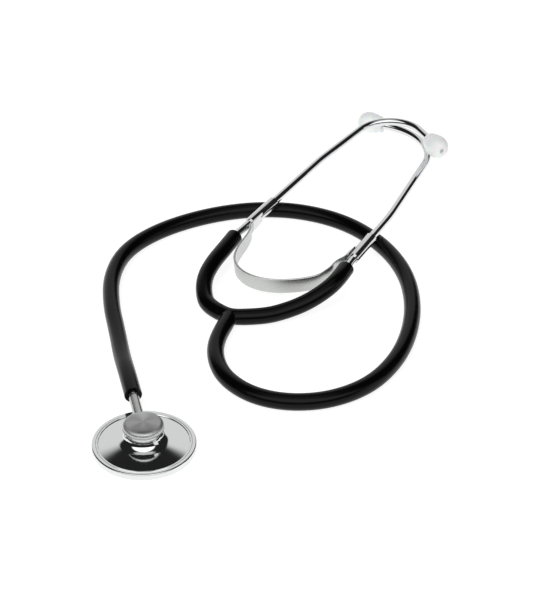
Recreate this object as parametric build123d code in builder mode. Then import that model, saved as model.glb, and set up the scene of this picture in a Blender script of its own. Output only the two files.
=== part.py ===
"""Single-head stethoscope: chest piece, forked tubing, leaf spring and crossed ear tubes.

Millimetres. The origin is the centre of the diaphragm's contact face, +Z is up from the table that
the stethoscope lies on, +X is to the right and +Y runs from the chest piece to the ear tubes.
Left and right are as the ear tubes leave the fork. Their tips cross, as they do when nobody wears it.
"""

from build123d import *
from math import cos, pi, radians, sin, tan
import os

os.makedirs("parts", exist_ok=True)

# Chest piece
disc_diameter = 46.0
ring_wall = 1.75
ring_foot = 0.08
ring_top = 3.2
ring_lip = 0.65
ring_lip_reach = 1.65
ring_edge = 0.5
thread_clearance = 0.05
diaphragm_thickness = 0.3
diaphragm_clearance = 0.15
rim_width = 1.1
rim_step = 0.3
rim_edge = 0.2
dish_slope = 9.0
flare_radius = 4.4
waist_radius = 7.55
hub_radius = 9.05
hub_top = 12.2
hub_edge = 0.4
cavity_depth = 1.3
sound_bore = 2.8
stem_height = 8.3
stem_heading = 102.2
stem_diameter = 4.7
stem_bore = 2.6
stem_seat = 3.0
stem_reach = 26.5
spigot_length = 10.0
barb_height = 0.14
barb_length = 2.0

# Tubing
hose_diameter = 8.0
hose_bore = 4.2
hose_clearance = 0.04
bend_share = 0.45
fork_x, fork_y = 36.0, 94.5
fork_left_heading, fork_left_length = 138.3, 6.3
fork_right_heading, fork_right_length = 2.3, 6.3
fork_main_heading, fork_main_length = -108.0, 9.0
fork_bend_radius = 14.0

# Ear tubes: heading in the plane of the table and rise along the way, at the mouth of each arm
ear_tube_diameter = 4.0
ear_tube_bore = 2.8
ear_tube_insert = 6.0
left_mouth_x, left_mouth_y, left_mouth_z = 38.7, 158.1, 10.0
left_mouth_heading, left_rise = 55.5, 0.037
right_mouth_x, right_mouth_y, right_mouth_z = 92.7, 126.0, 12.4
right_mouth_heading, right_rise = 68.5, -0.0386
left_hook_radius = 18.6
right_hook_radius = 35.0

# Rolled ends of the leaf spring
sleeve_wall = 0.75
sleeve_length = 22.0
sleeve_seam = 0.7
sleeve_clearance = 0.03
left_sleeve_start = 11.6
right_sleeve_start = 7.4
tongue_length = 2.0
tongue_flat = 1.5
tongue_blend = 8.0
tongue_width = 5.2

# Leaf spring
strip_width = 8.0
strip_end_width = 6.0
strip_taper = 16.0
strip_thickness = 0.9
strip_standoff = 0.38
strip_gap = 0.25
strip_lift = 0.23
strip_slope_x = 0.0642
strip_slope_y = 0.0443

# Ear tips
ferrule_diameter = 5.2
ferrule_length = 7.0
ferrule_bore = 1.8
ferrule_spigot = 5.0
tip_clearance = 0.05
tip_length = 14.5
tip_diameter = 11.6
tip_base_diameter = 8.0
tip_belly = 8.4
tip_end_gap = 0.3
tip_hole = 2.4
tip_mouth_radius = 0.6


def heading(angle, rise=0.0):
    """The unit vector at an angle from +X in the plane of the table, tipped up by its rise."""
    return Vector(cos(radians(angle)), sin(radians(angle)), rise).normalized()


def frame_along(origin, direction):
    """The plane whose X runs along a direction, with Y to the left of it."""
    right = direction.cross(Vector(0, 0, 1)).normalized()
    return Plane(origin=origin, x_dir=direction, z_dir=right.cross(direction))


# Places that two or more pieces share
hose_height = hose_diameter / 2
fork = Vector(fork_x, fork_y, hose_height)
fork_left = fork + heading(fork_left_heading) * fork_left_length
fork_right = fork + heading(fork_right_heading) * fork_right_length
fork_main = fork + heading(fork_main_heading) * fork_main_length
stem_direction = heading(stem_heading)
stem_axis = Vector(0, 0, stem_height)
stem_mouth = stem_axis + stem_direction * stem_reach
left_mouth = Vector(left_mouth_x, left_mouth_y, left_mouth_z)
right_mouth = Vector(right_mouth_x, right_mouth_y, right_mouth_z)
left_entry = heading(left_mouth_heading, left_rise)
right_entry = heading(right_mouth_heading, right_rise)

# Routes of the tubing, point by point from one end to the other
main_route = [
    fork_main,
    fork_main + heading(fork_main_heading) * 11.2,
    (29.6, 59.5, 4.0),
    (35.2, 45.3, 4.0),
    (47.5, 33.3, 4.0),
    (64.0, 28.0, 4.0),
    (83.0, 30.0, 4.0),
    (100.8, 40.8, 4.0),
    (113.8, 59.5, 4.0),
    (121.2, 82.0, 4.0),
    (123.7, 107.0, 4.0),
    (121.0, 132.5, 4.0),
    (111.5, 157.3, 4.0),
    (93.5, 178.3, 4.0),
    (70.0, 189.5, 4.0),
    (45.5, 191.2, 4.0),
    (21.0, 184.8, 4.0),
    (-1.5, 171.2, 4.0),
    (-17.0, 152.5, 4.0),
    (-22.6, 129.5, 4.0),
    (-20.6, 105.0, 4.0),
    (-16.0, 81.5, 4.05),
    (-12.9, 61.5, 5.2),
    stem_mouth + stem_direction * 18.0,
    stem_mouth,
]
left_arm_route = [
    fork_left,
    fork_left + heading(fork_left_heading) * 7.6,
    (21.4, 113.0, 5.0),
    (20.8, 124.0, 6.7),
    (24.2, 136.2, 8.5),
    left_mouth - left_entry * 12.5,
    left_mouth,
]
right_arm_route = [
    fork_right,
    fork_right + heading(fork_right_heading) * 9.3,
    (61.6, 96.6, 4.7),
    (72.2, 99.9, 7.0),
    (81.8, 106.0, 10.4),
    right_mouth - right_entry * 11.4,
    right_mouth,
]

# Routes of the ear tubes, from inside the arm to the ferrule, and their bending radii
left_ear_route = [
    left_mouth - left_entry * ear_tube_insert,
    left_mouth + left_entry * 7.0,
    (81.2, 225.2, 12.9),
    (121.6, 280.3, 15.1),
    (139.2, 240.5, 16.2),
]
left_ear_radii = [60.0, 90.0, left_hook_radius]
right_ear_route = [
    right_mouth - right_entry * ear_tube_insert,
    right_mouth + right_entry * 4.0,
    (115.3, 174.6, 10.2),
    (147.5, 259.5, 6.8),
    (116.5, 274.0, 5.8),
]
right_ear_radii = [40.0, 140.0, right_hook_radius]


def bend_radii(route):
    """The bending radius at each corner of a hose: as large as its two runs allow."""
    points = [Vector(point) for point in route]
    radii = []
    for before, corner, after in zip(points, points[1:], points[2:]):
        arriving, leaving = corner - before, after - corner
        tangent = bend_share * min(arriving.length, leaving.length)
        radii.append(tangent / tan(radians(arriving.get_angle(leaving)) / 2))
    return radii


def pipe(label, route, radii, outer, bore):
    """A hollow pipe along a route of straight runs joined by tangent arcs."""
    with BuildPart() as builder:
        with BuildLine() as path:
            FilletPolyline(*route, radius=radii)
        spine = path.wire()
        with BuildSketch(Plane(origin=spine @ 0, z_dir=spine % 0)):
            Circle(outer / 2)
            Circle(bore / 2, mode=Mode.SUBTRACT)
        sweep()
    builder.part.label = label
    section = pi * (outer**2 - bore**2) / 4
    print(label, "length", round(spine.length, 1), "radii", [round(radius, 1) for radius in radii])
    print(label, "volume", round(builder.part.volume, 1), "section x length", round(section * spine.length, 1))
    return builder.part


# Retaining ring: screwed on from below, its lip under the diaphragm's flange
ring_radius = disc_diameter / 2
ring_bore = ring_radius - ring_wall
lip_radius = ring_bore - ring_lip_reach
lip_top = ring_foot + ring_lip
with BuildPart() as retaining_ring:
    with BuildSketch(Plane.XZ) as ring_section:
        with BuildLine():
            Polyline(
                (lip_radius, ring_foot),
                (ring_radius, ring_foot),
                (ring_radius, ring_top),
                (ring_bore, ring_top),
                (ring_bore, lip_top),
                (lip_radius, lip_top),
                close=True,
            )
        make_face()
        outer_corners = ring_section.vertices().group_by(Axis.X)[-1]
        fillet(outer_corners, ring_edge)
    revolve(axis=Axis.Z)
retaining_ring.part.label = "retaining_ring"
export_step(retaining_ring.part, "parts/retaining_ring.step")

# Diaphragm: a thin disc that stands just proud of the ring, with a raised flange in the rim's clamp
flange_radius = ring_bore - diaphragm_clearance
face_radius = lip_radius - diaphragm_clearance
flange_top = lip_top + diaphragm_thickness
with BuildPart() as diaphragm:
    with BuildSketch(Plane.XZ):
        with BuildLine():
            Polyline(
                (0, 0),
                (face_radius, 0),
                (face_radius, lip_top),
                (flange_radius, lip_top),
                (flange_radius, flange_top),
                (face_radius - diaphragm_thickness, flange_top),
                (face_radius - diaphragm_thickness, diaphragm_thickness),
                (0, diaphragm_thickness),
                close=True,
            )
        make_face()
    revolve(axis=Axis.Z)
diaphragm.part.label = "diaphragm"
export_step(diaphragm.part, "parts/diaphragm.step")

# Chest body: raised rim, low dish and waisted hub turned in one piece, with the sound way inside
body_radius = ring_bore - thread_clearance
dish_radius = body_radius - rim_width
rim_bottom = flange_top
foot_radius = waist_radius + flare_radius * (1 - sin(radians(dish_slope)))
dish_edge = ring_top - rim_step
foot_height = dish_edge + (dish_radius - foot_radius) * tan(radians(dish_slope))
with BuildPart() as chest_body:
    with BuildSketch(Plane.XZ) as body_section:
        with BuildLine():
            dish = Line((dish_radius, dish_edge), (foot_radius, foot_height))
            flare = JernArc(dish @ 1, dish % 1, flare_radius, dish_slope - 90)
            waist = TangentArc(flare @ 1, (hub_radius, hub_top), tangent=flare % 1)
            Polyline(
                waist @ 1,
                (0, hub_top),
                (0, rim_bottom + cavity_depth),
                (sound_bore / 2, rim_bottom + cavity_depth),
                (lip_radius, rim_bottom),
                (body_radius, rim_bottom),
                (body_radius, ring_top),
                (dish_radius, ring_top),
                dish @ 0,
            )
        make_face()
        rim_corners = body_section.vertices().filter_by_position(Axis.Y, ring_top - 0.01, ring_top + 0.01)
        chamfer(rim_corners, rim_edge)
        hub_corner = body_section.vertices().group_by(Axis.Y)[-1].sort_by(Axis.X)[-1]
        fillet(hub_corner, hub_edge)
    revolve(axis=Axis.Z)
    with BuildSketch(Plane.XY.offset(rim_bottom)):
        Circle(sound_bore / 2)
    extrude(amount=stem_height - rim_bottom, mode=Mode.SUBTRACT)
    with BuildSketch(Plane(origin=stem_axis, z_dir=stem_direction)):
        Circle(stem_bore / 2)
    extrude(amount=hub_radius, mode=Mode.SUBTRACT)
    with BuildSketch(Plane(origin=stem_axis + stem_direction * stem_seat, z_dir=stem_direction)):
        Circle(stem_diameter / 2)
    extrude(amount=hub_radius, mode=Mode.SUBTRACT)
chest_body.part.label = "chest_body"
export_step(chest_body.part, "parts/chest_body.step")

def turned(label, frame, outline):
    """A body turned about a frame's X axis, from its outline of distances along it and radii."""
    with BuildPart() as builder:
        with BuildSketch(frame):
            with BuildLine():
                Polyline(*outline, close=True)
            make_face()
        revolve(axis=Axis(frame.origin, frame.x_dir))
    builder.part.label = label
    return builder.part


# Stem: pressed into the hub, stepped down to a barbed spigot inside the tube
barb_radius = hose_bore / 2 - hose_clearance
spigot_radius = barb_radius - barb_height
stem_end = stem_reach + spigot_length
stem_outline = [
    (stem_seat, stem_bore / 2),
    (stem_seat, stem_diameter / 2),
    (stem_reach, stem_diameter / 2),
    (stem_reach, spigot_radius),
]
for barb in range(3):
    barb_start = stem_reach + spigot_length / 10 + barb * 1.5 * barb_length
    stem_outline += [
        (barb_start, spigot_radius),
        (barb_start, barb_radius),
        (barb_start + barb_length, spigot_radius),
    ]
stem_outline += [(stem_end, spigot_radius), (stem_end, stem_bore / 2)]
chest_stem = turned("chest_stem", frame_along(stem_axis, stem_direction), stem_outline)
export_step(chest_stem, "parts/chest_stem.step")

# Tubing: the long leg and the two arms
main_tube = pipe("main_tube", main_route, bend_radii(main_route), hose_diameter, hose_bore)
export_step(main_tube, "parts/main_tube.step")
left_arm_tube = pipe("left_arm_tube", left_arm_route, bend_radii(left_arm_route), hose_diameter, hose_bore)
export_step(left_arm_tube, "parts/left_arm_tube.step")
right_arm_tube = pipe("right_arm_tube", right_arm_route, bend_radii(right_arm_route), hose_diameter, hose_bore)
export_step(right_arm_tube, "parts/right_arm_tube.step")

# Fork: the arms run through it in one bend, and the long leg joins them from below
with BuildPart() as y_junction:
    for diameter, mode in ((hose_diameter, Mode.ADD), (hose_bore, Mode.SUBTRACT)):
        with BuildLine() as arms:
            FilletPolyline(fork_left, fork, fork_right, radius=fork_bend_radius)
        bend = arms.wire()
        with BuildSketch(Plane(origin=bend @ 0, z_dir=bend % 0)):
            Circle(diameter / 2)
        sweep(mode=mode)
        with BuildSketch(Plane(origin=fork_main, z_dir=heading(fork_main_heading) * -1)):
            Circle(diameter / 2)
        extrude(amount=((bend @ 0.5) - fork_main).length, mode=mode)
y_junction.part.label = "y_junction"
export_step(y_junction.part, "parts/y_junction.step")

# Ear tubes: bent metal pipes, pushed into the arms
left_ear_tube = pipe("left_ear_tube", left_ear_route, left_ear_radii, ear_tube_diameter, ear_tube_bore)
export_step(left_ear_tube, "parts/left_ear_tube.step")
right_ear_tube = pipe("right_ear_tube", right_ear_route, right_ear_radii, ear_tube_diameter, ear_tube_bore)
export_step(right_ear_tube, "parts/right_ear_tube.step")

# Rolled sleeves: the ends of the leaf spring, wrapped round the ear tubes, with the strip's tongue below
sleeve_bore = ear_tube_diameter + 2 * sleeve_clearance
sleeve_diameter = sleeve_bore + 2 * sleeve_wall
strip_near = ear_tube_diameter / 2 + strip_standoff
strip_far = strip_near + strip_thickness
left_run = (Vector(left_ear_route[2]) - Vector(left_ear_route[1])).normalized()
right_run = (Vector(right_ear_route[2]) - Vector(right_ear_route[1])).normalized()
left_frame = frame_along(Vector(left_ear_route[1]) + left_run * (left_sleeve_start - 7.0), left_run)
right_frame = frame_along(Vector(right_ear_route[1]) + right_run * (right_sleeve_start - 4.0), right_run)


def rolled_sleeve(label, frame, side):
    """A sleeve with an open seam, and a tongue that runs out to the strip on one side of the tube."""
    with BuildPart() as builder:
        with BuildSketch(Plane(origin=frame.origin, z_dir=frame.x_dir)):
            Circle(sleeve_diameter / 2)
        extrude(amount=sleeve_length)
        with BuildSketch(frame):
            with BuildLine():
                Polyline(
                    (-tongue_length, side * strip_near),
                    (-tongue_length, side * strip_far),
                    (tongue_flat, side * strip_far),
                    (tongue_blend, side * strip_near),
                    close=True,
                )
            make_face()
        extrude(amount=tongue_width / 2, both=True)
        with BuildSketch(Plane(origin=frame.origin, z_dir=frame.x_dir)):
            Circle(sleeve_bore / 2)
        extrude(amount=sleeve_length, mode=Mode.SUBTRACT)
        with BuildSketch(frame):
            with Locations((sleeve_length / 2, -side * (sleeve_diameter - sleeve_wall) / 2)):
                Rectangle(sleeve_length, 2 * sleeve_wall)
        extrude(amount=sleeve_seam / 2, both=True, mode=Mode.SUBTRACT)
    builder.part.label = label
    return builder.part


left_spring_sleeve = rolled_sleeve("left_spring_sleeve", left_frame, -1)
export_step(left_spring_sleeve, "parts/left_spring_sleeve.step")
right_spring_sleeve = rolled_sleeve("right_spring_sleeve", right_frame, 1)
export_step(right_spring_sleeve, "parts/right_spring_sleeve.step")

# Leaf spring: a strip on edge in a tilted plane, bowed from one tongue to the other
strip_plane = Plane(origin=(0, 0, strip_lift), z_dir=(-strip_slope_x, -strip_slope_y, 1))
strip_middle = (strip_near + strip_far) / 2


def strip_point(x, y):
    """A point of the strip's plane, given by where it lies over the table."""
    return strip_plane.to_local_coords(Vector(x, y, strip_lift + strip_slope_x * x + strip_slope_y * y))


def strip_end(frame, side, back):
    """A point of the strip in line with a sleeve's tongue, so far back from the sleeve."""
    point = strip_plane.to_local_coords(frame.from_local_coords(Vector(-back, side * strip_middle, 0)))
    return Vector(point.X, point.Y, 0)


strip_start = tongue_length + strip_gap
strip_bow = [
    strip_end(left_frame, -1, strip_start),
    strip_end(left_frame, -1, strip_start + 1.9),
    strip_point(45.6, 156.3),
    strip_point(37.0, 138.4),
    strip_point(37.9, 127.4),
    strip_point(45.4, 118.1),
    strip_point(58.4, 112.6),
    strip_point(77.0, 114.0),
    strip_point(83.9, 120.6),
    strip_point(87.1, 127.2),
    strip_end(right_frame, 1, strip_start + 1.3),
    strip_end(right_frame, 1, strip_start),
]
with BuildPart() as leaf_spring:
    with BuildSketch(strip_plane):
        with BuildLine():
            FilletPolyline(*strip_bow, radius=bend_radii(strip_bow))
        trace(line_width=strip_thickness)
    extrude(amount=strip_width / 2, both=True)
    for frame, side in ((left_frame, -1), (right_frame, 1)):
        end_plane = Plane(origin=frame.from_local_coords(Vector(-strip_start, 0, 0)), x_dir=frame.x_dir,
                          z_dir=frame.y_dir)
        for edge in (-1, 1):
            with BuildSketch(end_plane):
                with BuildLine():
                    Polyline(
                        (0.5, edge * strip_end_width / 2),
                        (-strip_taper, edge * strip_width / 2),
                        (-strip_taper, edge * strip_width),
                        (0.5, edge * strip_width),
                        close=True,
                    )
                make_face()
            extrude(amount=strip_width, both=True, mode=Mode.SUBTRACT)
leaf_spring.part.label = "leaf_spring"
export_step(leaf_spring.part, "parts/leaf_spring.step")

# Ferrules: bushes in the ends of the ear tubes that the tips push onto
ferrule_outline = [
    (-ferrule_spigot, ferrule_bore / 2),
    (-ferrule_spigot, ear_tube_bore / 2),
    (0, ear_tube_bore / 2),
    (0, ferrule_diameter / 2),
    (ferrule_length, ferrule_diameter / 2),
    (ferrule_length, ferrule_bore / 2),
]
left_end = Vector(left_ear_route[-1])
right_end = Vector(right_ear_route[-1])
left_tip_frame = frame_along(left_end, (left_end - Vector(left_ear_route[-2])).normalized())
right_tip_frame = frame_along(right_end, (right_end - Vector(right_ear_route[-2])).normalized())
left_tip_ferrule = turned("left_tip_ferrule", left_tip_frame, ferrule_outline)
export_step(left_tip_ferrule, "parts/left_tip_ferrule.step")
right_tip_ferrule = turned("right_tip_ferrule", right_tip_frame, ferrule_outline)
export_step(right_tip_ferrule, "parts/right_tip_ferrule.step")


def eartip(label, frame):
    """A plastic ear tip: a barrel that swells to its belly and ends in a dome with a sound hole."""
    with BuildPart() as builder:
        with BuildSketch(frame) as half:
            with BuildLine():
                Spline((0, tip_base_diameter / 2), (tip_belly, tip_diameter / 2), tangents=[(1, 0.3), (1, 0)])
                EllipticalCenterArc(
                    (tip_belly, 0), tip_length - tip_belly, tip_diameter / 2, start_angle=0, arc_size=90
                )
                Polyline((tip_length, 0), (0, 0), (0, tip_base_diameter / 2))
            make_face()
            socket = (ferrule_length + tip_end_gap, ferrule_diameter / 2 + tip_clearance)
            Rectangle(*socket, align=(Align.MIN, Align.MIN), mode=Mode.SUBTRACT)
            Rectangle(tip_length, tip_hole / 2, align=(Align.MIN, Align.MIN), mode=Mode.SUBTRACT)
            fillet(half.vertices().sort_by(Axis.X)[-1], tip_mouth_radius)
        revolve(axis=Axis(frame.origin, frame.x_dir))
    builder.part.label = label
    return builder.part


left_eartip = eartip("left_eartip", left_tip_frame)
export_step(left_eartip, "parts/left_eartip.step")
right_eartip = eartip("right_eartip", right_tip_frame)
export_step(right_eartip, "parts/right_eartip.step")
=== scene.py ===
# %% [markdown]
# # A stethoscope, dressed from its measured frame
# The frame holds every rigid piece at its real size: the turned chest piece, the bent ear tubes, the
# rolled sleeves and the tips. It is loaded first. Nothing that is added later may make the object
# larger. What the frame can't give is the look: tubing that runs in one smooth curve, a spring strip
# bowed between the ear tubes, and the finish of every surface.

# %% Load the frame
from math import atan2, cos, degrees, hypot, pi, radians, sin, tan

import bpy
import bmesh
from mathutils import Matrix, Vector


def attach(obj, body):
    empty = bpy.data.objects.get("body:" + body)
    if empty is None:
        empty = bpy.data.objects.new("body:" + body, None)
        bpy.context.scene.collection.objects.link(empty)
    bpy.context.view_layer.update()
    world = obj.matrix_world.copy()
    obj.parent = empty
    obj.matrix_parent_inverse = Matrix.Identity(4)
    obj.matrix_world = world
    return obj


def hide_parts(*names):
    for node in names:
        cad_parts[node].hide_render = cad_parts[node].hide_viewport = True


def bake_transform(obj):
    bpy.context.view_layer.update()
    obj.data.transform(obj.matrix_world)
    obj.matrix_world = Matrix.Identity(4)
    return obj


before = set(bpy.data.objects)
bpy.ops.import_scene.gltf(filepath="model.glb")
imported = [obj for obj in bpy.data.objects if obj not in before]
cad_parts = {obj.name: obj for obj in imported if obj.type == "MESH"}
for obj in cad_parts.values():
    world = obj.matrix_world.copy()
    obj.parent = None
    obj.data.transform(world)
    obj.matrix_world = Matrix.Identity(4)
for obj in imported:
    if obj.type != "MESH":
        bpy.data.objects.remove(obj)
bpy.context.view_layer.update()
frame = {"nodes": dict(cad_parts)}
MM = 0.001

# %% [markdown]
# ## The camera
# A product picture is rebuilt from its own viewpoint first, so that every later piece can be judged
# against it. The round rim of the chest piece gives the tilt of the view and the scale, and the way
# the far end shrinks gives the distance: a long lens, a little under a metre away.

# %% Camera
CAMERA_PLACE = Vector((55.1, -741.2, 584.8)) * MM
CAMERA_DIP = 34.34
FOCAL_PIXELS = 2150.0
PICTURE_HEIGHT = 600.0

bpy.ops.object.camera_add(location=CAMERA_PLACE, rotation=(radians(90.0 - CAMERA_DIP), 0.0, 0.0))
camera = bpy.context.object
camera.name = "product_camera"
camera.data.sensor_width = 36.0
camera.data.sensor_fit = "AUTO"
camera.data.lens = FOCAL_PIXELS / PICTURE_HEIGHT * camera.data.sensor_width
camera.data.clip_end = 20.0
bpy.context.scene.camera = camera

# %% [markdown]
# ## Helpers for the hoses
# A hose is a circle carried along a line. A NURBS curve through a few chosen points gives the line its
# ease: the points pull the curve and are not touched by it, so it never kinks. A bevel gives the curve
# its thickness. The order is set after the points are there, or Blender keeps straight runs.

# %% A curve from a list of points
HOSE_SIDES = 12
HOSE_STEPS = 14


def hose_curve(name, points, diameter):
    data = bpy.data.curves.new(name, "CURVE")
    data.dimensions = "3D"
    spline = data.splines.new("NURBS")
    spline.points.add(len(points) - 1)
    for slot, point in zip(spline.points, points):
        slot.co = (point[0] * MM, point[1] * MM, point[2] * MM, 1.0)
    spline.order_u = 3
    spline.use_endpoint_u = True
    spline.resolution_u = HOSE_STEPS
    data.bevel_depth = diameter / 2
    data.bevel_resolution = HOSE_SIDES
    data.use_fill_caps = True
    curve = bpy.data.objects.new(name, data)
    bpy.context.scene.collection.objects.link(curve)
    return curve


def deselect_all():
    bpy.ops.object.select_all(action="DESELECT")


def make_active(piece):
    deselect_all()
    piece.select_set(True)
    bpy.context.view_layer.objects.active = piece


def smooth(piece, angle=40.0):
    make_active(piece)
    bpy.ops.object.shade_smooth_by_angle(angle=radians(angle))


# %% A mesh hose, and the line that it follows
LINE_STEPS = 12


def mesh_hose(name, points, diameter):
    piece = hose_curve(name, points, diameter)
    make_active(piece)
    bpy.ops.object.convert(target="MESH")
    piece = bpy.context.object
    smooth(piece)
    return piece


def centre_line(points):
    curve = hose_curve("line", points, 0.0)
    curve.data.splines[0].resolution_u = LINE_STEPS
    line = bpy.data.meshes.new_from_object(curve)
    found = [vertex.co.copy() for vertex in line.vertices]
    bpy.data.objects.remove(curve)
    bpy.data.meshes.remove(line)
    return found


# %% [markdown]
# ## The long leg of the tubing
# The black hose leaves the fork, swings round in one big loop, passes under both ear tubes and comes
# down to the chest piece. It lies on the table all the way and lifts only at the end, where the stem
# holds it. Its centre line is worked out as a list of points at the end.

# %% Long leg
HOSE = 8.0
FORK = (36.0, 94.5, 4.0)
FORK_MAIN = (33.219, 85.940, 4.0)
LONG_LEG = [
    FORK_MAIN,
    (29.758, 75.288, 4.0),
    (30.0, 59.5, 4.0),
    (35.2, 44.9, 4.0),
    (47.3, 32.6, 4.0),
    (64.0, 27.2, 4.0),
    (83.0, 29.6, 4.0),
    (100.8, 40.8, 4.0),
    (113.4, 59.8, 4.0),
    (120.8, 82.2, 4.0),
    (123.7, 107.0, 4.0),
    (121.3, 132.8, 4.0),
    (111.5, 157.5, 4.0),
    (93.6, 178.7, 4.0),
    (70.0, 189.9, 4.0),
    (45.5, 191.2, 4.0),
    (21.0, 184.2, 4.0),
    (-1.3, 170.6, 4.0),
    (-16.8, 152.2, 4.0),
    (-22.3, 129.5, 4.0),
    (-20.8, 105.0, 4.0),
    (-16.3, 81.5, 4.05),
    (-13.1, 61.5, 5.2),
    (-9.404, 43.495, 8.3),
    (-5.940, 27.470, 8.3),
]
long_leg = mesh_hose("long_leg", LONG_LEG, HOSE * MM)
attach(long_leg, "tubing")
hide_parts("main_tube")
[tuple(place) for place in centre_line(LONG_LEG)]

# %% [markdown]
# ## The two arms
# Each arm grips the end of an ear tube, so it has to bend when the ear tube is swung out. It is made
# as the long leg was, as a mesh, because a bending piece needs points along its length. The metal tube
# goes a little way into each open end.

# %% Arms
LEFT_ARM = [
    (31.296, 98.691, 4.0),
    (25.622, 103.747, 4.0),
    (23.3, 112.2, 5.0),
    (23.3, 123.4, 6.7),
    (27.0, 134.3, 8.5),
    (33.0, 146.0, 9.538),
    (37.5, 156.0, 9.9),
]
RIGHT_ARM = [
    (42.295, 94.753, 4.0),
    (51.587, 95.126, 4.0),
    (61.5, 98.1, 4.7),
    (71.9, 101.7, 7.0),
    (81.5, 107.2, 10.4),
    (88.0, 114.0, 12.8),
    (91.7, 123.4, 12.5),
]
left_arm = mesh_hose("left_arm", LEFT_ARM, HOSE * MM)
right_arm = mesh_hose("right_arm", RIGHT_ARM, HOSE * MM)
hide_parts("left_arm_tube")
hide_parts("right_arm_tube")

# %% [markdown]
# ## The moulded fork
# The fork is one rubber moulding: the two arms run through it in a bend and the long leg joins them
# with a soft hollow in the corners. Two hoses that cross would leave sharp creases, so they are
# joined, skinned over by a voxel remesh and eased with a smoothing pass, which fills the corners as a
# mould does. The smoothing fades out towards the three ends, so that they keep the hose's thickness.
# Each end reaches a little way into its hose, so no gap shows.

# %% Fork
FORK_VOXEL = 0.28
EASING_REACH = 8.2
EASING_FADE = 2.0
EASING_FACTOR = 0.7
EASING_PASSES = 45
FORK_BEND = [
    (30.624, 99.29, 4.0),
    (33.4, 96.85, 4.0),
    (36.3, 95.2, 4.0),
    (39.9, 94.66, 4.0),
    (43.19, 94.79, 4.0),
]
FORK_LEG = [
    (32.941, 85.084, 4.0),
    (34.6, 90.2, 4.0),
    (35.7, 93.9, 4.0),
]
fork = mesh_hose("fork", FORK_BEND, HOSE * MM)
leg = mesh_hose("leg", FORK_LEG, HOSE * MM)
make_active(fork)
leg.select_set(True)
bpy.ops.object.join()
remesh = fork.modifiers.new("skin", "REMESH")
remesh.mode = "VOXEL"
remesh.voxel_size = FORK_VOXEL * MM
bpy.ops.object.modifier_apply(modifier="skin")
corners = fork.vertex_groups.new(name="corners")
for vertex in fork.data.vertices:
    away = (vertex.co / MM - Vector(FORK)).length
    weight = min(1.0, max(0.0, (EASING_REACH - away) / EASING_FADE))
    corners.add([vertex.index], weight, "REPLACE")
easing = fork.modifiers.new("easing", "SMOOTH")
easing.factor = EASING_FACTOR
easing.iterations = EASING_PASSES
easing.vertex_group = "corners"
bpy.ops.object.modifier_apply(modifier="easing")
smooth(fork, 60.0)
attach(fork, "tubing")
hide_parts("y_junction")
print("fork has", len(fork.data.polygons), "faces")

# %% [markdown]
# ## Turned metal
# The chest piece is turned on a lathe, and a spin is a lathe in a modelling tool: the outline of one
# side is drawn as points of radius and height, and swept once round the upright axis. Round corners
# are short arcs of points, so the highlights roll over them.

# %% Turning
def corner_arc(centre, radius, start, end, count):
    angles = [radians(start + (end - start) * step / count) for step in range(count + 1)]
    return [(centre[0] + radius * cos(angle), centre[1] + radius * sin(angle)) for angle in angles]


def turn(name, outline, steps, closed):
    data = bpy.data.meshes.new(name)
    count = len(outline)
    edges = [(here, here + 1) for here in range(count - 1)]
    if closed:
        edges.append((count - 1, 0))
    data.from_pydata([(radius * MM, 0.0, height * MM) for radius, height in outline], edges, [])
    piece = bpy.data.objects.new(name, data)
    bpy.context.scene.collection.objects.link(piece)
    make_active(piece)
    bpy.ops.object.mode_set(mode="EDIT")
    bpy.ops.mesh.select_all(action="SELECT")
    bpy.ops.mesh.spin(steps=steps, angle=2 * pi, center=(0.0, 0.0, 0.0), axis=(0.0, 0.0, 1.0))
    bpy.ops.mesh.select_all(action="SELECT")
    bpy.ops.mesh.remove_doubles(threshold=1e-7)
    bpy.ops.mesh.normals_make_consistent(inside=False)
    bpy.ops.object.mode_set(mode="OBJECT")
    print(name, "turned,", len(data.polygons), "faces")
    return piece


# %% [markdown]
# ## The chest piece's body
# A low dish sweeps up into a narrow waist, and from there the side widens again to a thick cap with a
# rounded shoulder and a slight crown. The cap is left satin, and the rest is plated and bright. The
# satin is a second material on the same mesh, chosen by the height of its faces.

# %% Body
BODY_RADIUS = 21.2
BODY_FLOOR = 1.03
RIM_TOP = 3.2
RIM_BREAK = 0.2
DISH_RADIUS = 20.1
DISH_FOOT = 2.9
DISH_SLOPE = radians(9.0)
WAIST_RADIUS = 7.3
FLARE = 5.0
FLARE_END = 200.0
CAP_RADIUS = 9.15
CAP_FOOT = 11.1
CAP_BREAK = (0.15, 0.2)
CAP_TOP = 14.2
CAP_SHOULDER = 2.4
CROWN = 0.3
FACED_ABOVE = 11.0
BODY_STEPS = 128
flare_radius = WAIST_RADIUS + FLARE
dish_run = DISH_RADIUS - flare_radius + FLARE * sin(DISH_SLOPE)
flare_foot = DISH_FOOT + dish_run * tan(DISH_SLOPE)
flare_centre = (flare_radius, flare_foot + FLARE * cos(DISH_SLOPE))
shoulder_radius = CAP_RADIUS - CAP_SHOULDER
body_outline = [
    (0.0, BODY_FLOOR),
    (BODY_RADIUS, BODY_FLOOR),
    (BODY_RADIUS, RIM_TOP - RIM_BREAK),
    (BODY_RADIUS - RIM_BREAK, RIM_TOP),
    (DISH_RADIUS + RIM_BREAK, RIM_TOP),
    (DISH_RADIUS, RIM_TOP - RIM_BREAK),
    (DISH_RADIUS, DISH_FOOT),
]
body_outline += corner_arc(flare_centre, FLARE, 270.0 - degrees(DISH_SLOPE), FLARE_END, 14)
body_outline += [
    (CAP_RADIUS - CAP_BREAK[0], CAP_FOOT),
    (CAP_RADIUS, CAP_FOOT + CAP_BREAK[1]),
]
body_outline += corner_arc((shoulder_radius, CAP_TOP - CAP_SHOULDER), CAP_SHOULDER, 0.0, 84.0, 12)
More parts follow.
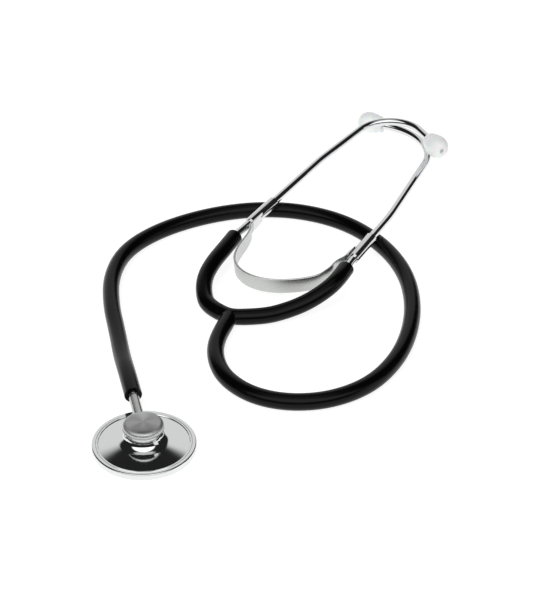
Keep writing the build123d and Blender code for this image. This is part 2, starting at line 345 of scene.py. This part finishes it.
for share in (0.75, 0.5, 0.25, 0.0):
    body_outline.append((shoulder_radius * share, CAP_TOP + CROWN * (1 - share**2)))
chest_body = turn("chest_body_turned", body_outline, BODY_STEPS, False)
smooth(chest_body, 32.0)

# %% [markdown]
# ## The ring with its grip
# The ring screws on from below and holds the diaphragm. Its side has fine upright ridges for the
# fingers. They are made by pushing every second column of points inwards, which is what a straight
# knurling wheel does to the metal.

# %% Ring
RING_RADIUS = 23.0
RING_BORE = 21.25
RING_LIP = 19.6
RING_FOOT = 0.08
RING_LIP_TOP = 0.73
FOOT_ROUND = 0.4
SHOULDER_ROUND = 0.6
RIDGES = 96
RIDGE_DEPTH = 0.16
RIDGE_FOOT = 0.9
RIDGE_TOP = 2.2
ring_outline = [(RING_LIP, RING_FOOT)]
ring_outline += corner_arc(
    (RING_RADIUS - FOOT_ROUND, RING_FOOT + FOOT_ROUND), FOOT_ROUND, 270.0, 360.0, 5,
)
ring_outline += [(RING_RADIUS, RIDGE_FOOT), (RING_RADIUS, RIDGE_TOP)]
ring_outline += corner_arc(
    (RING_RADIUS - SHOULDER_ROUND, RIM_TOP - SHOULDER_ROUND), SHOULDER_ROUND, 0.0, 90.0, 7,
)
ring_outline += [(RING_BORE, RIM_TOP), (RING_BORE, RING_LIP_TOP), (RING_LIP, RING_LIP_TOP)]
ring = turn("ring_with_grip", ring_outline, 2 * RIDGES, True)
groove_share = (RING_RADIUS - RIDGE_DEPTH) / RING_RADIUS
for vertex in ring.data.vertices:
    x, y, z = vertex.co / MM
    column = round((atan2(y, x) % (2 * pi)) / (pi / RIDGES))
    on_side = RIDGE_FOOT - 0.1 < z < RIDGE_TOP + 0.1 and hypot(x, y) > RING_RADIUS - 0.1
    if on_side and column % 2:
        vertex.co.x *= groove_share
        vertex.co.y *= groove_share
smooth(ring, 24.0)
for piece, node in ((chest_body, "chest_body"), (ring, "retaining_ring")):
    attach(piece, "tubing")
    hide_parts(node)

# %% [markdown]
# ## The leaf spring
# The strip is a long thin bar on edge, bowed in a plane that leans with the ear tubes. A bar swept
# along a curve would do, but the strip narrows towards its rolled ends, so it is laid out as a ladder
# of cross-sections: at each step along the curve a small rectangle, as tall as the strip is there.
# It is made in two halves, because its two ends meet different ear tubes.

# %% Strip
STRIP_THICKNESS = 0.9
STRIP_WIDTH = 8.0
STRIP_END_WIDTH = 6.0
STRIP_TAPER = 16.0
STRIP_BREAK = 0.18
STRIP_FOOT = 0.23
STRIP_LEAN = (0.0642, 0.0443)
STRIP_NORMAL = Vector((-STRIP_LEAN[0], -STRIP_LEAN[1], 1.0)).normalized()
STRIP = [
    (46.299, 164.342),
    (45.293, 162.737),
    (45.6, 156.3),
    (37.6, 138.3),
    (38.5, 127.6),
    (45.4, 118.1),
    (58.4, 112.6),
    (77.0, 114.0),
    (83.9, 120.6),
    (87.1, 127.2),
    (91.563, 130.804),
    (92.108, 131.973),
]


def strip_height(x, y):
    return STRIP_FOOT + STRIP_LEAN[0] * x + STRIP_LEAN[1] * y


strip_points = [(x, y, strip_height(x, y)) for x, y in STRIP]
strip_line = centre_line(strip_points)
strip_reach = [0.0]
for here, after in zip(strip_line, strip_line[1:]):
    strip_reach.append(strip_reach[-1] + (after - here).length)
print("length of the strip", round(strip_reach[-1] / MM, 1), "mm in", len(strip_line), "steps")


def strip_section(step):
    before = strip_line[max(step - 1, 0)]
    after = strip_line[min(step + 1, len(strip_line) - 1)]
    along = (after - before).normalized()
    aside = STRIP_NORMAL.cross(along).normalized()
    end_distance = min(strip_reach[step], strip_reach[-1] - strip_reach[step]) / MM
    share = min(end_distance / STRIP_TAPER, 1.0)
    half_height = (STRIP_END_WIDTH + (STRIP_WIDTH - STRIP_END_WIDTH) * share) / 2 * MM
    half_thick = STRIP_THICKNESS / 2 * MM
    edge = STRIP_BREAK * MM
    outline = (
        (half_thick, half_height - edge),
        (half_thick - edge, half_height),
        (edge - half_thick, half_height),
        (-half_thick, half_height - edge),
        (-half_thick, edge - half_height),
        (edge - half_thick, -half_height),
        (half_thick - edge, -half_height),
        (half_thick, edge - half_height),
    )
    return [strip_line[step] + aside * out + STRIP_NORMAL * up for out, up in outline]


def strip_half(name, first, last):
    mesh = bmesh.new()
    rungs = [
        [mesh.verts.new(place) for place in strip_section(step)]
        for step in range(first, last + 1)
    ]
    for rung, following in zip(rungs, rungs[1:]):
        for here in range(len(rung)):
            there = (here + 1) % len(rung)
            mesh.faces.new((rung[here], rung[there], following[there], following[here]))
    mesh.faces.new(rungs[0])
    mesh.faces.new(list(reversed(rungs[-1])))
    bmesh.ops.recalc_face_normals(mesh, faces=mesh.faces)
    data = bpy.data.meshes.new(name)
    mesh.to_mesh(data)
    mesh.free()
    piece = bpy.data.objects.new(name, data)
    bpy.context.scene.collection.objects.link(piece)
    smooth(piece, 35.0)
    return piece


SPLIT_X = 58.0 * MM
PAST_LEFT_END = 20
split = next(
    step for step, place in enumerate(strip_line) if place.x > SPLIT_X and step > PAST_LEFT_END
)
left_strip = strip_half("left_strip", 0, split)
right_strip = strip_half("right_strip", split, len(strip_line) - 1)
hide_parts("leaf_spring")
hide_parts("leaf_spring")

# %% [markdown]
# ## The arms and the strip
# Their placements are baked into their meshes, left and right alike.

# %% Baked placements
for piece in (left_arm, left_strip):
    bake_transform(piece)
for piece in (right_arm, right_strip):
    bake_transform(piece)

# %% [markdown]
# ## Fine marks that several finishes share
# No real surface is perfectly even: plating has hairline marks, moulded rubber has a bloom. One node
# group makes both, from a coarse and a fine noise, and each material takes its own amount.

# %% Node group for fine marks
def input_socket(group, name, kind, value):
    socket = group.interface.new_socket(name=name, in_out="INPUT", socket_type=kind)
    socket.default_value = value


marks = bpy.data.node_groups.new("fine_marks", "ShaderNodeTree")
input_socket(marks, "Scale", "NodeSocketFloat", 400.0)
input_socket(marks, "Roughness", "NodeSocketFloat", 0.2)
input_socket(marks, "Spread", "NodeSocketFloat", 0.05)
marks.interface.new_socket(name="Roughness", in_out="OUTPUT", socket_type="NodeSocketFloat")
marks.interface.new_socket(name="Height", in_out="OUTPUT", socket_type="NodeSocketFloat")
entry = marks.nodes.new("NodeGroupInput")
exit_node = marks.nodes.new("NodeGroupOutput")
place = marks.nodes.new("ShaderNodeTexCoord")
coarse = marks.nodes.new("ShaderNodeTexNoise")
coarse.inputs["Detail"].default_value = 4.0
fine = marks.nodes.new("ShaderNodeTexNoise")
fine.inputs["Detail"].default_value = 2.0
wider = marks.nodes.new("ShaderNodeMath")
wider.operation = "MULTIPLY"
wider.inputs[1].default_value = 6.0
span = marks.nodes.new("ShaderNodeMapRange")
span.inputs["To Min"].default_value = -1.0
around = marks.nodes.new("ShaderNodeMath")
around.operation = "MULTIPLY_ADD"
marks.links.new(place.outputs["Object"], coarse.inputs["Vector"])
marks.links.new(place.outputs["Object"], fine.inputs["Vector"])
marks.links.new(entry.outputs["Scale"], coarse.inputs["Scale"])
marks.links.new(entry.outputs["Scale"], wider.inputs[0])
marks.links.new(wider.outputs[0], fine.inputs["Scale"])
marks.links.new(coarse.outputs["Fac"], span.inputs["Value"])
marks.links.new(span.outputs["Result"], around.inputs[0])
marks.links.new(entry.outputs["Spread"], around.inputs[1])
marks.links.new(entry.outputs["Roughness"], around.inputs[2])
marks.links.new(around.outputs[0], exit_node.inputs["Roughness"])
marks.links.new(fine.outputs["Fac"], exit_node.inputs["Height"])


def finish_material(name, colour, metallic, roughness, spread, scale, bump, **sockets):
    material = bpy.data.materials.new(name)
    material.use_nodes = True
    nodes, links = material.node_tree.nodes, material.node_tree.links
    shader = nodes["Principled BSDF"]
    shader.inputs["Base Color"].default_value = (*colour, 1.0)
    shader.inputs["Metallic"].default_value = metallic
    for key, value in sockets.items():
        shader.inputs[key.replace("_", " ")].default_value = value
    group = nodes.new("ShaderNodeGroup")
    group.node_tree = marks
    group.inputs["Scale"].default_value = scale
    group.inputs["Roughness"].default_value = roughness
    group.inputs["Spread"].default_value = spread
    relief = nodes.new("ShaderNodeBump")
    relief.inputs["Distance"].default_value = bump * MM
    relief.inputs["Strength"].default_value = 0.5
    links.new(group.outputs["Roughness"], shader.inputs["Roughness"])
    links.new(group.outputs["Height"], relief.inputs["Height"])
    links.new(relief.outputs["Normal"], shader.inputs["Normal"])
    return material


# %% [markdown]
# ## The finishes
# Plating is a bright metal with hardly any roughness, so it shows the room and little of itself. The
# strip is steel with a satin grind. The tubing is black rubber that gives back a soft grey streak, and
# the tips are a milky plastic that lets a little light through, with a faint painted glow: an emission
# that stands in for that light.

# %% Materials
plating = finish_material("plated_metal", (0.76, 0.77, 0.77), 1.0, 0.07, 0.02, 220.0, 0.002)
tube_plating = finish_material("plated_tube", (0.74, 0.74, 0.75), 1.0, 0.07, 0.03, 260.0, 0.002)
satin_steel = finish_material("satin_steel", (0.54, 0.55, 0.54), 1.0, 0.27, 0.03, 300.0, 0.0015)
sleeve_metal = finish_material("sleeve_metal", (0.70, 0.71, 0.70), 1.0, 0.12, 0.04, 300.0, 0.003)
stem_metal = finish_material("stem_metal", (0.50, 0.51, 0.50), 1.0, 0.22, 0.05, 300.0, 0.003)
faced_metal = finish_material(
    "faced_metal", (0.60, 0.61, 0.60), 1.0, 0.46, 0.06, 260.0, 0.004, Anisotropic=0.75,
)
black_rubber = finish_material(
    "black_rubber", (0.0012, 0.0012, 0.0013), 0.0, 0.25, 0.05, 260.0, 0.006,
    Specular_IOR_Level=0.15,
)
# The tips' emission is a painted glow: they shine a little on their own, standing in for light passing
# through the plastic.
glowing_milky_plastic = finish_material(
    "glowing_milky_plastic", (0.84, 0.87, 0.86), 0.0, 0.28, 0.05, 200.0, 0.004,
    Subsurface_Weight=0.4, Subsurface_Scale=0.003,
    Emission_Color=(0.93, 1.0, 0.98, 1.0), Emission_Strength=0.06,
)
sheet_plastic = finish_material("sheet_plastic", (0.78, 0.78, 0.76), 0.0, 0.35, 0.06, 300.0, 0.004)


def dress(piece, material):
    piece.data.materials.clear()
    piece.data.materials.append(material)


nodes = frame["nodes"]
dress(nodes["chest_stem"], stem_metal)
for piece in (chest_body, ring):
    dress(piece, plating)
chest_body.data.materials.append(faced_metal)
for face in chest_body.data.polygons:
    if face.center.z > FACED_ABOVE * MM:
        face.material_index = 1
for side in ("left", "right"):
    dress(nodes[f"{side}_ear_tube"], tube_plating)
    dress(nodes[f"{side}_tip_ferrule"], tube_plating)
    dress(nodes[f"{side}_spring_sleeve"], sleeve_metal)
    dress(nodes[f"{side}_eartip"], glowing_milky_plastic)
dress(nodes["diaphragm"], sheet_plastic)
for piece in (long_leg, left_arm, right_arm, fork):
    dress(piece, black_rubber)
for piece in (left_strip, right_strip):
    dress(piece, satin_steel)

# %% [markdown]
# ## The table and the light
# The picture was taken on pure white with hardly a shadow, and what the plating mirrors tells where
# the light stood: a white backdrop straight behind, a large soft box above the camera, a small one low
# on the right, a glow overhead, and a dark room between them. Lamps could stand in those places, but a
# small bright lamp gives grainy streaks on plating, so each light is a white patch in the sky with
# soft edges. One soft lamp, which no mirror shows, adds a little form to what isn't metal, and the
# floor is white and lit from within.

# %% Floor
bpy.ops.mesh.primitive_plane_add(size=6.0, location=(0.0, 0.0, 0.0))
floor = bpy.context.object
floor.name = "table_top"
floor_material = bpy.data.materials.new("white_table")
floor_material.use_nodes = True
floor_shader = floor_material.node_tree.nodes["Principled BSDF"]
floor_shader.inputs["Base Color"].default_value = (0.35, 0.35, 0.35, 1.0)
floor_shader.inputs["Roughness"].default_value = 0.9
floor_shader.inputs["Emission Color"].default_value = (1.0, 1.0, 1.0, 1.0)
floor_shader.inputs["Emission Strength"].default_value = 0.86
floor.data.materials.append(floor_material)

# %% Sky
DARK_ROOM = 0.018
world = bpy.data.worlds.new("studio")
bpy.context.scene.world = world
world.use_nodes = True
sky = world.node_tree
background = sky.nodes["Background"]
direction = sky.nodes.new("ShaderNodeTexCoord")
axes = sky.nodes.new("ShaderNodeSeparateXYZ")
sky.links.new(direction.outputs["Generated"], axes.inputs["Vector"])


def fade_between(source, dark_at, bright_at):
    ramp = sky.nodes.new("ShaderNodeMapRange")
    ramp.interpolation_type = "SMOOTHSTEP"
    ramp.inputs["From Min"].default_value = dark_at
    ramp.inputs["From Max"].default_value = bright_at
    sky.links.new(source, ramp.inputs["Value"])
    return ramp.outputs["Result"]


def sum_or_product(operation, first, second):
    node = sky.nodes.new("ShaderNodeMath")
    node.operation = operation
    for socket, value in zip(node.inputs, (first, second)):
        if isinstance(value, float):
            socket.default_value = value
        else:
            sky.links.new(value, socket)
    return node.outputs[0]


def white_patch(strength, *fades):
    patch = strength
    for axis, dark_at, bright_at in fades:
        fade = fade_between(axes.outputs[axis], dark_at, bright_at)
        patch = sum_or_product("MULTIPLY", fade, patch)
    return patch


backdrop = white_patch(0.80, ("X", 0.42, 0.30), ("Y", 0.62, 0.74), ("Z", 0.76, 0.68))
front_box = white_patch(1.60, ("Y", -0.22, -0.42), ("Z", 0.42, 0.52))
right_box = white_patch(0.95, ("X", 0.84, 0.92), ("Y", 0.06, -0.04), ("Z", 0.42, 0.34))
overhead_glow = white_patch(0.60, ("Z", 0.91, 0.97))
light_level = backdrop
for patch in (front_box, right_box, overhead_glow):
    light_level = sum_or_product("ADD", light_level, patch)
sky.links.new(sum_or_product("ADD", light_level, DARK_ROOM), background.inputs["Strength"])
background.inputs["Color"].default_value = (1.0, 1.0, 1.0, 1.0)


# %% Soft lamp
LAMP_PLACE = Vector((-0.9, -0.9, 1.7))
bpy.ops.object.light_add(type="AREA", location=LAMP_PLACE)
lamp = bpy.context.object
lamp.name = "key_box"
lamp.data.shape = "RECTANGLE"
lamp.data.size = 1.30
lamp.data.size_y = 0.90
lamp.data.energy = 14.0
lamp.visible_glossy = False
lamp.rotation_euler = (-LAMP_PLACE).to_track_quat("-Z", "Y").to_euler()
bpy.context.scene.view_settings.view_transform = "Standard"

# %% [markdown]
# ## Last update
# The view layer is brought up to date.

# %% Update
bpy.context.view_layer.update()
